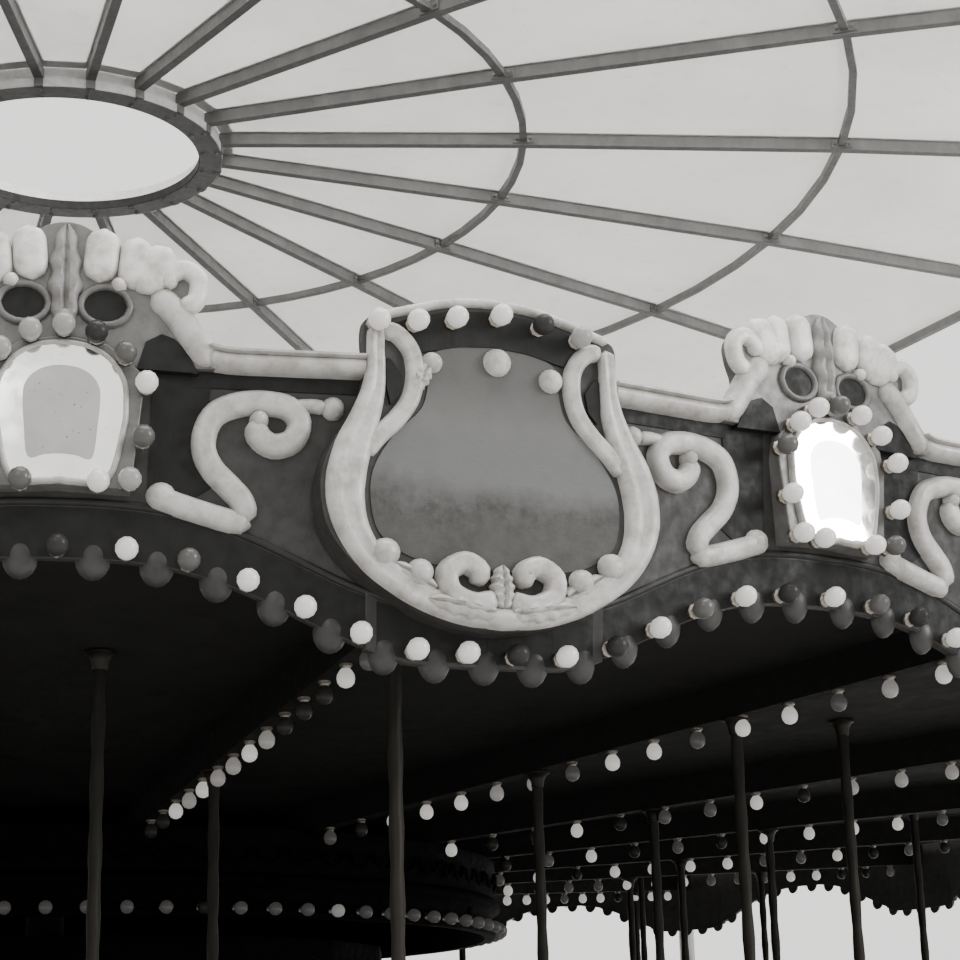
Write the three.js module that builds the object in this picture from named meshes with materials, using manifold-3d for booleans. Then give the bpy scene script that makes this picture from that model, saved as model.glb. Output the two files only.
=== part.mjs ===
// Fairground carousel under its fixed round canopy, in millimetres with +Z up.
// The origin is on the turning axis at ground level.
// Azimuths run from -Y, the front, towards +X. A local frame has +X along the rim and -Y outwards.
import * as THREE from 'three';
import { mergeVertices } from 'three/addons/utils/BufferGeometryUtils.js';
import Module from 'manifold-3d';

const wasm = await Module();
wasm.setup();

const DEG = Math.PI / 180;
const SEAT_GAP = 0.3;

// Turning frame: one sweep and one rounding board for each bay
const BAYS = 18;
const BAY_ANGLE = 360 * DEG / BAYS;
const FIRST_SWEEP = BAY_ANGLE / 2;

// Sweeps rise gently from the hub to the rim
const SWEEP_SLOPE = 0.062;
const SWEEP_UNDERSIDE_AT_AXIS = 2675;
const SWEEP_DEPTH = 150;
const SWEEP_WIDTH = 80;
const HUB_APOTHEM = 600;
const HUB_HEIGHT = 210;
const HUB_BORE = 96;

// Rounding boards: they lean outwards, with a wavy lower edge and a narrow panel across each corner
const BOARD_FACE_AT = 7370;
const BOARD_FACE_HEIGHT = 2800;
const BOARD_LEAN = 0.1;
const BOARD_HALF = 930;
const BOARD_CUT = 650;
const CORNER_LAP = 25;
const CORNER_LIP = 8;
const CORNER_PROUD = 4;
const BOARD_THICKNESS = 40;
const BOARD_TOP = 3692;
const BOARD_LOW_EDGE = 2785;
const BOARD_EDGE_LIFT = 283;
const EDGE_WAVE_RUN = 1100;
const EDGE_WAVE_POWER = 1.4;
const EDGE_STEP = 190;

// Upright mirror with the crest above it, and the upright shield in front of each corner
const CREST_HALF = [
  [450, 3640], [405, 3735], [372, 3790], [400, 3890], [330, 3985],
  [215, 3970], [150, 3950], [100, 4060], [0, 4090],
];
const CREST_BACK = 7428;
const CREST_FRONT = 7485;
const MIRROR_HALF = [[0, 3725], [130, 3700], [225, 3620], [235, 3540], [205, 3255], [0, 3265]];
const MIRROR_FRONT = 7495;
const SHIELD_HALF = [
  [0, 3925], [150, 3912], [300, 3868], [370, 3838], [415, 3815], [418, 3640], [455, 3500],
  [507, 3443], [553, 3341], [561, 3239], [532, 3136], [445, 3034], [328, 2962], [205, 2900], [0, 2865],
];
const SHIELD_FRONT = 7545;
const BOARD_GROUPS = 6;

// Platform sectors with their poles, which stand wide and close under every other sweep
const PLATFORM_SECTORS = 6;
const PLATFORM_INNER = 2750;
const PLATFORM_OUTER = 7350;
const PLATFORM_TOP = 320;
const PLATFORM_THICKNESS = 100;
const PLATFORM_STEP = 10 * DEG;
const POLE_RADIUS = 28;
const POLE_SIDES = 8;
const WIDE_POLES_AT = [6580, 4150];
const CLOSE_POLES_AT = [5750, 4500];
const BAY_POLE_AT = 5550;
const BAY_POLE_TURN = 1.78 * DEG;

// Ceiling boards on top of the sweeps, and the cornice that hangs round the centre
const CEILING_INNER = 640;
const CEILING_OUTER = 7372;
const CEILING_THICKNESS = 30;
const CORNICE_INNER = 2740;
const CORNICE_OUTER = 2800;
const CORNICE_LIP = 2840;
const CORNICE_BOTTOM = 2395;
const CORNICE_SIDES = 36;

// Standing centre
const HOUSING_RADIUS = 2600;
const HOUSING_PANEL_RADIUS = 2530;
const HOUSING_NECK_RADIUS = 2120;
const HOUSING_SHOULDER = 2020;
const HOUSING_HEIGHT = 2350;
const HOUSING_BAND = 160;
const MAST_RADIUS = 88;
const MAST_TOP = 3300;
const COLLAR_RADIUS = 210;
const COLLAR_TOP = 2690;

// Canopy: twenty rafters from a flat hub ring to the eaves, on a column at every second rafter
const RAFTERS = 20;
const RAFTER_ANGLE = 360 * DEG / RAFTERS;
const FIRST_RAFTER = 6.63 * DEG;
const RAFTER_WIDTH = 60;
const RAFTER_DEPTH = 80;
const RAFTER_START = 940;
const INNER_PURLIN = 3157;
const OUTER_PURLIN = 5368;
const EAVE_RADIUS = 7620;
const RAFTER_LINE = [[RAFTER_START, 7840], [INNER_PURLIN, 7780], [OUTER_PURLIN, 7690], [8060, 7525]];
const PURLIN_WIDTH = 50;
const PURLIN_DEPTH = 50;
const EAVE_DEPTH = 70;
const RING_DROP = 10;
const SIDES_PER_RAFTER = 3;
const HUB_RING_INNER = 900;
const HUB_RING_OUTER = 1050;
const HUB_RING_TOP = 7842;
const HUB_RING_DEPTH = 64;
const PLAIN_RAFTER_END = 7660;
const COVER_EDGE = 7680;
const COVER_THICKNESS = 25;
const COVER_GAP = 0.7;
const FRAME_SECTORS = 5;
const COLUMN_AT = 7950;
const COLUMN_RADIUS = 70;
const COLUMN_SIDES = 12;
const COLUMN_CAP = 110;
const FOOT_SIZE = 300;
const FOOT_THICKNESS = 24;

const finishes = {
  housing: new THREE.MeshStandardMaterial({ color: 0x2b2a28, roughness: 0.6, metalness: 0.1 }),
  mast: new THREE.MeshStandardMaterial({ color: 0x4a4947, roughness: 0.5, metalness: 0.7 }),
  sweep: new THREE.MeshStandardMaterial({ color: 0x3a3733, roughness: 0.7, metalness: 0.0 }),
  board: new THREE.MeshStandardMaterial({ color: 0xc9c4ba, roughness: 0.5, metalness: 0.05 }),
  deck: new THREE.MeshStandardMaterial({ color: 0x8a8478, roughness: 0.7, metalness: 0.0 }),
  ceiling: new THREE.MeshStandardMaterial({ color: 0x1f1e1c, roughness: 0.8, metalness: 0.0 }),
  cornice: new THREE.MeshStandardMaterial({ color: 0x55524d, roughness: 0.5, metalness: 0.1 }),
  frame: new THREE.MeshStandardMaterial({ color: 0x777570, roughness: 0.5, metalness: 0.5 }),
  cover: new THREE.MeshStandardMaterial({ color: 0xe4e2dc, roughness: 0.8, metalness: 0.0 }),
};

const carousel = new THREE.Group();
const canopy = new THREE.Group();
const turntable = new THREE.Group();
const centre = new THREE.Group();
carousel.add(canopy, turntable, centre);

// Closed solids from geometry, and back again
function solid(geometry) {
  const bare = geometry.index ? geometry.toNonIndexed() : geometry.clone();
  bare.deleteAttribute('normal');
  bare.deleteAttribute('uv');
  const merged = mergeVertices(bare, 1e-3);
  return new wasm.Manifold(new wasm.Mesh({
    numProp: 3,
    vertProperties: new Float32Array(merged.attributes.position.array),
    triVerts: new Uint32Array(merged.index.array),
  }));
}

function joined(geometries) {
  const whole = geometries.map(solid).reduce((sum, piece) => sum.add(piece));
  const mesh = whole.getMesh();
  const geometry = new THREE.BufferGeometry();
  geometry.setAttribute('position', new THREE.BufferAttribute(new Float32Array(mesh.vertProperties), 3));
  geometry.setIndex(new THREE.BufferAttribute(new Uint32Array(mesh.triVerts), 1));
  geometry.computeVertexNormals();
  return geometry;
}

function place(group, name, geometry, finish, azimuth = 0) {
  const mesh = new THREE.Mesh(geometry, finish);
  mesh.name = name;
  mesh.rotation.z = azimuth;
  group.add(mesh);
}

function numbered(name, index) {
  return `${name}_${String(index + 1).padStart(2, '0')}`;
}

function shapeOf(points) {
  return new THREE.Shape(points.map(([x, y]) => new THREE.Vector2(x, y)));
}

// Both halves of an outline that is given for one side, from its top to its bottom or edge to centre
function mirrored(half) {
  const other = half.filter(([x]) => x !== 0).map(([x, y]) => [-x, y]);
  return [...half, ...other.reverse()];
}

// An upright plate whose outline is in local X and Z, between two distances from the axis
function uprightPlate(points, back, front) {
  const plate = new THREE.ExtrudeGeometry(shapeOf(points), { depth: front - back, bevelEnabled: false });
  plate.rotateX(90 * DEG);
  plate.translate(0, -back, 0);
  return plate;
}

// The same for a plate whose back and front are at distances that change evenly with height
function leaningPlate(points, back, front) {
  const plate = uprightPlate(points, 0, 1);
  const spots = plate.attributes.position;
  for (let i = 0; i < spots.count; i++) {
    const height = spots.getZ(i);
    spots.setY(i, spots.getY(i) < -0.5 ? -front(height) : -back(height));
  }
  return plate;
}

// A straight bar along a radius whose side outline is in radius and Z
function radialBar(points, width) {
  const bar = new THREE.ExtrudeGeometry(shapeOf(points), { depth: width, bevelEnabled: false });
  bar.rotateX(90 * DEG);
  bar.rotateZ(-90 * DEG);
  bar.translate(width / 2, 0, 0);
  return bar;
}

// A solid of revolution with flat sides, with a corner at the given azimuth
function turned(profile, sides, corner = 0) {
  const points = profile.map(([radius, height]) => new THREE.Vector2(radius, height));
  const body = new THREE.LatheGeometry(points, sides, corner);
  body.rotateX(90 * DEG);
  return body;
}

function upright(radius, bottom, top, sides, distance) {
  const post = new THREE.CylinderGeometry(radius, radius, top - bottom, sides);
  post.rotateX(90 * DEG);
  post.translate(0, -distance, (top + bottom) / 2);
  return post;
}

function sweepUnderside(radius) {
  return SWEEP_UNDERSIDE_AT_AXIS + SWEEP_SLOPE * radius;
}

function sweepTop(radius) {
  return sweepUnderside(radius) + SWEEP_DEPTH;
}

// Distance of the boards' front from the axis at a height, for a board and for a corner panel
function boardFace(height) {
  return BOARD_FACE_AT + BOARD_LEAN * (height - BOARD_FACE_HEIGHT);
}

function cornerFace(height) {
  const joint = boardFace(height) * Math.cos(BAY_ANGLE / 2) + BOARD_HALF * Math.sin(BAY_ANGLE / 2);
  return joint + CORNER_PROUD;
}

function cornerHalf(height) {
  return boardFace(height) * Math.sin(BAY_ANGLE / 2) - BOARD_HALF * Math.cos(BAY_ANGLE / 2);
}

// Standing centre: panelled housing and the mast that carries the turning frame
function housing() {
  return turned([
    [0, 0], [HOUSING_RADIUS, 0], [HOUSING_RADIUS, HOUSING_BAND],
    [HOUSING_PANEL_RADIUS, HOUSING_BAND + 40],
    [HOUSING_PANEL_RADIUS, HOUSING_SHOULDER - HOUSING_BAND],
    [HOUSING_RADIUS, HOUSING_SHOULDER - HOUSING_BAND + 40],
    [HOUSING_RADIUS, HOUSING_SHOULDER], [HOUSING_NECK_RADIUS, HOUSING_SHOULDER + 40],
    [HOUSING_NECK_RADIUS, HOUSING_HEIGHT], [0, HOUSING_HEIGHT],
  ], BAYS, FIRST_SWEEP);
}

function mast() {
  const foot = HOUSING_HEIGHT + SEAT_GAP;
  return turned([
    [0, foot], [COLLAR_RADIUS, foot], [COLLAR_RADIUS, foot + 40], [MAST_RADIUS + 30, foot + 80],
    [MAST_RADIUS + 30, COLLAR_TOP - 90], [COLLAR_RADIUS, COLLAR_TOP - 50], [COLLAR_RADIUS, COLLAR_TOP],
    [MAST_RADIUS, COLLAR_TOP], [MAST_RADIUS, MAST_TOP], [0, MAST_TOP],
  ], BAYS);
}

// Turning frame
function sweepHub() {
  const outer = HUB_APOTHEM / Math.cos(BAY_ANGLE / 2);
  const bottom = COLLAR_TOP + SEAT_GAP;
  return turned([
    [HUB_BORE, bottom], [outer, bottom], [outer, bottom + HUB_HEIGHT],
    [HUB_BORE, bottom + HUB_HEIGHT], [HUB_BORE, bottom],
  ], BAYS);
}

function sweep() {
  const inner = HUB_APOTHEM + SEAT_GAP;
  const reach = BOARD_THICKNESS + SEAT_GAP;
  const low = cornerFace(sweepUnderside(BOARD_FACE_AT)) - reach;
  const high = cornerFace(sweepTop(BOARD_FACE_AT)) - reach;
  return radialBar([
    [inner, sweepUnderside(inner)], [low, sweepUnderside(low)],
    [high, sweepTop(high)], [inner, sweepTop(inner)],
  ], SWEEP_WIDTH);
}

function ceiling() {
  const inner = sweepTop(CEILING_INNER) + SEAT_GAP;
  const outer = sweepTop(CEILING_OUTER) + SEAT_GAP;
  return turned([
    [CEILING_INNER, inner], [CEILING_OUTER, outer], [CEILING_OUTER, outer + CEILING_THICKNESS],
    [CEILING_INNER, inner + CEILING_THICKNESS], [CEILING_INNER, inner],
  ], 2 * BAYS, FIRST_SWEEP);
}

function cornice() {
  const top = sweepUnderside(CORNICE_INNER) - SEAT_GAP;
  return turned([
    [CORNICE_INNER, CORNICE_BOTTOM], [CORNICE_OUTER, CORNICE_BOTTOM],
    [CORNICE_OUTER, CORNICE_BOTTOM + 120], [CORNICE_LIP, CORNICE_BOTTOM + 160],
    [CORNICE_LIP, CORNICE_BOTTOM + 200], [CORNICE_OUTER, CORNICE_BOTTOM + 220],
    [CORNICE_OUTER, top], [CORNICE_INNER, top], [CORNICE_INNER, CORNICE_BOTTOM],
  ], CORNICE_SIDES);
}

// Rounding boards
function lowerEdge(along) {
  const run = Math.min(1, Math.abs(along) / EDGE_WAVE_RUN) ** EDGE_WAVE_POWER;
  return BOARD_LOW_EDGE + BOARD_EDGE_LIFT * (0.5 + 0.5 * Math.cos(Math.PI * run));
}

function boardOutline(from, to) {
  const steps = Math.ceil((to - from) / EDGE_STEP);
  const bottom = [];
  for (let i = 0; i <= steps; i++) {
    const along = from + (to - from) * i / steps;
    bottom.push([along, lowerEdge(along)]);
  }
  return [...bottom, [to, BOARD_TOP], [from, BOARD_TOP]];
}

function cornerOutline() {
  const end = cornerHalf(lowerEdge(BOARD_HALF)) + CORNER_LAP;
  const steps = 2 * Math.ceil(end / EDGE_STEP);
  const bottom = [];
  for (let i = 0; i <= steps; i++) {
    const along = -end + 2 * end * i / steps;
    bottom.push([along, lowerEdge(BOARD_HALF - CORNER_LAP + end - Math.abs(along)) - CORNER_LIP]);
  }
  const top = cornerHalf(BOARD_TOP) + CORNER_LAP;
  return [...bottom, [top, BOARD_TOP + CORNER_LIP], [-top, BOARD_TOP + CORNER_LIP]];
}

function boardGroup() {
  const back = (height) => boardFace(height) - BOARD_THICKNESS;
  const middle = (height) => boardFace(height) - BOARD_THICKNESS / 2;
  const cornerBack = (height) => cornerFace(height) - BOARD_THICKNESS;
  const cornerMiddle = (height) => cornerFace(height) - BOARD_THICKNESS / 2;
  const baysInGroup = BAYS / BOARD_GROUPS;
  const pieces = [];
  for (let i = 0; i <= baysInGroup; i++) {
    const from = i === 0 ? BOARD_CUT + SEAT_GAP / 2 : -BOARD_HALF;
    const to = i === baysInGroup ? BOARD_CUT - SEAT_GAP / 2 : BOARD_HALF;
    pieces.push(leaningPlate(boardOutline(from, to), back, boardFace).rotateZ(i * BAY_ANGLE));
  }
  for (let i = 0; i < baysInGroup; i++) {
    const corner = leaningPlate(cornerOutline(), cornerBack, cornerFace);
    const shield = leaningPlate(mirrored(SHIELD_HALF), cornerMiddle, () => SHIELD_FRONT);
    const mirror = leaningPlate(mirrored(MIRROR_HALF), middle, () => MIRROR_FRONT);
    const crest = uprightPlate(mirrored(CREST_HALF), CREST_BACK, CREST_FRONT);
    pieces.push(corner.rotateZ((i + 0.5) * BAY_ANGLE));
    pieces.push(shield.rotateZ((i + 0.5) * BAY_ANGLE));
    pieces.push(mirror.rotateZ((i + 1) * BAY_ANGLE));
    pieces.push(crest.rotateZ((i + 1) * BAY_ANGLE));
  }
  return joined(pieces);
}

// Part of a flat ring with straight sides, a seat gap short of where its neighbours start
function ringPart(start, turn, step, inner, outer, bottom, thickness) {
  const joint = SEAT_GAP / 2 / inner;
  const rim = [start + joint];
  for (let azimuth = start + step; azimuth < start + turn - step / 2; azimuth += step) {
    rim.push(azimuth);
  }
  rim.push(start + turn - joint);
  const far = rim.map((azimuth) => [outer * Math.sin(azimuth), -outer * Math.cos(azimuth)]);
  const near = rim.map((azimuth) => [inner * Math.sin(azimuth), -inner * Math.cos(azimuth)]);
  const part = new THREE.ExtrudeGeometry(shapeOf([...far, ...near.reverse()]), {
    depth: thickness, bevelEnabled: false,
  });
  part.translate(0, 0, bottom);
  return part;
}

// Platform sector: a deck with the poles that stand on it
function platformSector(sector) {
  const sectorAngle = 360 * DEG / PLATFORM_SECTORS;
  const start = FIRST_SWEEP + BAY_ANGLE / 4;
  const deckBottom = PLATFORM_TOP - PLATFORM_THICKNESS;
  const pieces = [ringPart(
    start, sectorAngle, PLATFORM_STEP, PLATFORM_INNER, PLATFORM_OUTER, deckBottom, PLATFORM_THICKNESS,
  )];
  const foot = PLATFORM_TOP - PLATFORM_THICKNESS / 2;
  const bayPoleTop = sweepTop(BAY_POLE_AT - POLE_RADIUS) - SEAT_GAP;
  const baysInSector = BAYS / PLATFORM_SECTORS;
  for (let i = 1; i <= baysInSector; i++) {
    const isWide = (sector * baysInSector + i) % 2 === 0;
    if (isWide) {
      const bayPole = upright(POLE_RADIUS, foot, bayPoleTop, POLE_SIDES, BAY_POLE_AT);
      pieces.push(bayPole.rotateZ(i * BAY_ANGLE + BAY_POLE_TURN));
    }
    for (const distance of isWide ? WIDE_POLES_AT : CLOSE_POLES_AT) {
      const top = sweepUnderside(distance - POLE_RADIUS) - SEAT_GAP;
      const sweepPole = upright(POLE_RADIUS, foot, top, POLE_SIDES, distance);
      pieces.push(sweepPole.rotateZ(i * BAY_ANGLE + FIRST_SWEEP));
    }
  }
  return joined(pieces);
}

// Canopy
function rafterUnderside(radius) {
  let i = 1;
  while (i < RAFTER_LINE.length - 1 && RAFTER_LINE[i][0] < radius) i++;
  const [r0, z0] = RAFTER_LINE[i - 1];
  const [r1, z1] = RAFTER_LINE[i];
  return z0 + (z1 - z0) * (radius - r0) / (r1 - r0);
}

function rafter(end) {
  const stations = [RAFTER_START, INNER_PURLIN, OUTER_PURLIN, end];
  const under = stations.map((radius) => [radius, rafterUnderside(radius)]);
  const over = under.map(([radius, height]) => [radius, height + RAFTER_DEPTH]);
  return radialBar([...under, ...over.reverse()], RAFTER_WIDTH);
}

// One straight side of a ring, in the frame of the middle of that side
function ringSide(radius, width, depth, sideAngle, from, to) {
  const middle = radius * Math.cos(sideAngle / 2);
  const top = rafterUnderside(radius) + RAFTER_DEPTH - RING_DROP;
  const outline = [[from, top - depth], [to, top - depth], [to, top], [from, top]];
  return uprightPlate(outline, middle - width / 2, middle + width / 2);
}

function frameSector() {
  const rafters = RAFTERS / FRAME_SECTORS;
  const rings = [
    [INNER_PURLIN, PURLIN_WIDTH, PURLIN_DEPTH, SIDES_PER_RAFTER],
    [OUTER_PURLIN, PURLIN_WIDTH, PURLIN_DEPTH, SIDES_PER_RAFTER],
    [EAVE_RADIUS, PURLIN_WIDTH, EAVE_DEPTH, 1],
  ];
  const pieces = [ringPart(
    -RAFTER_ANGLE / 2, 360 * DEG / FRAME_SECTORS, RAFTER_ANGLE / SIDES_PER_RAFTER,
    HUB_RING_INNER, HUB_RING_OUTER, HUB_RING_TOP - HUB_RING_DEPTH, HUB_RING_DEPTH,
  )];
  for (let i = 0; i < rafters; i++) {
    const end = i % 2 === 1 ? COLUMN_AT + COLUMN_CAP : PLAIN_RAFTER_END;
    pieces.push(rafter(end).rotateZ(i * RAFTER_ANGLE));
  }
  for (const [radius, width, depth, sides] of rings) {
    const sideAngle = RAFTER_ANGLE / sides;
    const half = radius * Math.sin(sideAngle / 2);
    for (let i = 0; i <= rafters * sides; i++) {
      const from = i === 0 ? SEAT_GAP / 2 : -half;
      const to = i === rafters * sides ? -SEAT_GAP / 2 : half;
      const side = ringSide(radius, width, depth, sideAngle, from, to);
      pieces.push(side.rotateZ(i * sideAngle - RAFTER_ANGLE / 2));
    }
  }
  return joined(pieces);
}

function cover() {
  const stations = [HUB_RING_OUTER, INNER_PURLIN, OUTER_PURLIN, COVER_EDGE];
  const under = stations.map((radius) => [radius, rafterUnderside(radius) + RAFTER_DEPTH + COVER_GAP]);
  const over = under.map(([radius, height]) => [radius, height + COVER_THICKNESS]);
  return turned([...under, ...over.reverse(), under[0]], RAFTERS, FIRST_RAFTER);
}

function column() {
  const top = rafterUnderside(COLUMN_AT + COLUMN_CAP) - SEAT_GAP;
  const foot = new THREE.BoxGeometry(FOOT_SIZE, FOOT_SIZE, FOOT_THICKNESS);
  foot.translate(0, -COLUMN_AT, FOOT_THICKNESS / 2);
  const cap = new THREE.BoxGeometry(2 * COLUMN_CAP, 2 * COLUMN_CAP, FOOT_THICKNESS);
  cap.translate(0, -COLUMN_AT, top - FOOT_THICKNESS / 2);
  const middle = FOOT_THICKNESS / 2;
  return joined([foot, cap, upright(COLUMN_RADIUS, middle, top - middle, COLUMN_SIDES, COLUMN_AT)]);
}

// Assembly
place(centre, 'centre_housing', housing(), finishes.housing);
place(centre, 'centre_mast', mast(), finishes.mast);
place(turntable, 'sweep_hub', sweepHub(), finishes.mast);
place(turntable, 'ceiling', ceiling(), finishes.ceiling);
place(turntable, 'inner_cornice', cornice(), finishes.cornice);
for (let i = 0; i < BAYS; i++) {
  place(turntable, numbered('sweep', i), sweep(), finishes.sweep, FIRST_SWEEP + i * BAY_ANGLE);
}
for (let i = 0; i < BOARD_GROUPS; i++) {
  const azimuth = i * 360 * DEG / BOARD_GROUPS;
  place(turntable, numbered('rounding_boards', i), boardGroup(), finishes.board, azimuth);
}
for (let i = 0; i < PLATFORM_SECTORS; i++) {
  const azimuth = i * 360 * DEG / PLATFORM_SECTORS;
  place(turntable, numbered('platform', i), platformSector(i), finishes.deck, azimuth);
}
for (let i = 0; i < FRAME_SECTORS; i++) {
  const azimuth = FIRST_RAFTER + i * 360 * DEG / FRAME_SECTORS;
  place(canopy, numbered('canopy_frame', i), frameSector(), finishes.frame, azimuth);
}
for (let i = 0; i < RAFTERS / 2; i++) {
  const azimuth = FIRST_RAFTER + (2 * i + 1) * RAFTER_ANGLE;
  place(canopy, numbered('column', i), column(), finishes.frame, azimuth);
}
place(canopy, 'canopy_cover', cover(), finishes.cover);

export default carousel;
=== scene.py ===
# Looks of the fairground carousel: carved rounding boards with lamps, mirrors and shields,
# the dark overhead frame behind them, and the round cloth canopy on its steel frame.
# Everything is in metres in the model's frame. Azimuths run from -Y, the front, towards +X.
import random
from math import copysign, cos, exp, pi, radians, sin, sqrt, tan, tau

import bmesh
import bpy
import numpy as np
from mathutils import Matrix, Vector


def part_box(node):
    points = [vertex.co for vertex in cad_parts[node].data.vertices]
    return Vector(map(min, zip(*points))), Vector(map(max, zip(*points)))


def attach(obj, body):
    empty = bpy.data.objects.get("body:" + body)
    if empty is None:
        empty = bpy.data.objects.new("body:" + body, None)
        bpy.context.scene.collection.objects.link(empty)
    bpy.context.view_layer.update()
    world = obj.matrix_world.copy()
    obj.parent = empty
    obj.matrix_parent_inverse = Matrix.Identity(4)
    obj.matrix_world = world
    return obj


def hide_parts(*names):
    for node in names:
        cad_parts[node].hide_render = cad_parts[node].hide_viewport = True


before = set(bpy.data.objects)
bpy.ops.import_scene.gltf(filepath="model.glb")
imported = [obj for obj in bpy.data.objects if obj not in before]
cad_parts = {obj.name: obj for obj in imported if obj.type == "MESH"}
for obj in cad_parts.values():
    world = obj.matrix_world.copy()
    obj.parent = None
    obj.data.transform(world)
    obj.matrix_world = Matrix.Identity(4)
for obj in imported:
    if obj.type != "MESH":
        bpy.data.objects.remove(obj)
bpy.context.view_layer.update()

STAND = "stand"
TURNTABLE = "turntable"

# Layout of the solids. Sweep 05 lies along +X, and column 01 stands at the second rafter.
BAYS = sum(name.startswith("sweep_") and name != "sweep_hub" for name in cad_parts)
BAY = tau / BAYS
HALF_BAY = BAY / 2
SEAT = 0.0003
side_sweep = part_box("sweep_05")
SWEEP_INNER = side_sweep[0].x
SWEEP_OUTER = side_sweep[1].x
SWEEP_DEPTH = 0.15
SWEEP_RISE = (side_sweep[1].z - SWEEP_DEPTH - side_sweep[0].z) / (SWEEP_OUTER - SWEEP_INNER)
BOARD_THICKNESS = 0.04
BOARD_FACE_AT = 7.37
BOARD_FACE_HEIGHT = 2.8
BOARD_LEAN = 0.1
BOARD_HALF = 0.93
CORNER_PROUD = 0.004
MIRROR_FACE = 7.495
CREST_FACE = 7.485
SHIELD_FACE = 7.545
PLATFORM_TOP = 0.32
PLATFORM_INNER = 2.75
PLATFORM_OUTER = 7.35
cover_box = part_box("canopy_cover")
cornice_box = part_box("inner_cornice")
CORNICE_LAMPS_AT = 2.797
HOUSING_RADIUS = 2.53
RAFTERS = 20
RAFTER_STEP = tau / RAFTERS
RAFTER_HALF = 0.03
FIRST_RAFTER = radians(6.63)
PURLINS = (3.157, 5.368)
PURLIN_TOPS = (7.8607, 7.7707)
EAVE_RING = 7.53
HUB_INNER = 0.9
HUB_OUTER = 1.05
HUB_BOTTOM = 7.78
HUB_TOP = 7.843
COLUMN_AT = 7.95
FOOT_TOP = 0.024

mirror_azimuths = [i * BAY for i in range(BAYS)]
sweep_azimuths = [(i + 0.5) * BAY for i in range(BAYS)]
rafter_azimuths = [FIRST_RAFTER + i * RAFTER_STEP for i in range(RAFTERS)]
column_azimuths = rafter_azimuths[1::2]


def nodes_named(start):
    return [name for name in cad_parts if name.startswith(start)]


def show(thing):
    bpy.context.scene.collection.objects.link(thing)


# Node-built finishes
BLACK = (0.0, 0.0, 0.0, 1.0)
WHITE = (1.0, 1.0, 1.0, 1.0)


def grey(value, warmth=0.03):
    """A near-neutral tone, a little warmer than pure grey."""
    return (value * (1 + warmth), value, value * (1 - 1.6 * warmth), 1.0)


class Finish:
    """A procedural material: colour that varies with noise, fine relief and uneven gloss."""

    def __init__(self, name, roughness, metallic=0.0, shine=0.5):
        self.material = bpy.data.materials.new(name)
        self.material.use_nodes = True
        self.tree = self.material.node_tree
        self.shader = self.tree.nodes["Principled BSDF"]
        self.set(self.shader, {"Roughness": roughness, "Metallic": metallic, "Specular IOR Level": shine})
        self.place = self.tree.nodes.new("ShaderNodeTexCoord").outputs["Object"]
        self.normal = None

    def set(self, node, inputs):
        """Each input, by name or number, gets a value or is linked to another node's output."""
        for key, value in inputs.items():
            socket = node.inputs[key] if isinstance(key, int) else [
                found for found in node.inputs if found.name == key and found.enabled][0]
            if isinstance(value, bpy.types.NodeSocket):
                self.tree.links.new(value, socket)
            else:
                socket.default_value = value

    def node(self, kind, inputs, **values):
        made = self.tree.nodes.new("ShaderNode" + kind)
        for key, value in values.items():
            setattr(made, key, value)
        self.set(made, inputs)
        return made

    def noise(self, scale, detail=4.0, rough=0.55, place=None, distortion=0.0):
        return self.node("TexNoise", {
            "Scale": scale, "Detail": detail, "Roughness": rough, "Distortion": distortion,
            "Vector": place or self.place}).outputs["Fac"]

    def streaks(self, scale, detail, rough=0.6, distortion=0.0):
        """Noise with its own scale along each axis."""
        mapping = self.node("Mapping", {"Scale": scale, "Vector": self.place})
        return self.noise(1.0, detail, rough, mapping.outputs["Vector"], distortion)

    def ramp(self, source, low, high, first=BLACK, second=WHITE):
        """A blend from the first colour to the second between two levels of the source."""
        ramp = self.node("ValToRGB", {"Fac": source})
        for element, position, colour in zip(ramp.color_ramp.elements, (low, high), (first, second)):
            element.position = position
            element.color = colour
        return ramp.outputs["Color"]

    def mixed(self, share, first, second):
        mix = self.node("Mix", {"Factor": share, "A": first, "B": second}, data_type="RGBA")
        return [socket for socket in mix.outputs if socket.enabled][0]

    def ranged(self, source, low, high, start=0.3, end=0.7):
        return self.node("MapRange", {
            "Value": source, "From Min": start, "From Max": end, "To Min": low, "To Max": high,
        }).outputs["Result"]

    def colour(self, output):
        self.set(self.shader, {"Base Color": output})

    def gloss(self, source, low, high):
        """Roughness that wanders between two values with the source."""
        self.set(self.shader, {"Roughness": self.ranged(source, low, high)})

    def relief(self, height, strength, distance):
        bump = self.node("Bump", {"Strength": strength, "Distance": distance, "Height": height})
        if self.normal:
            self.set(bump, {"Normal": self.normal})
        self.normal = bump.outputs["Normal"]
        self.set(self.shader, {"Normal": self.normal})


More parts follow.
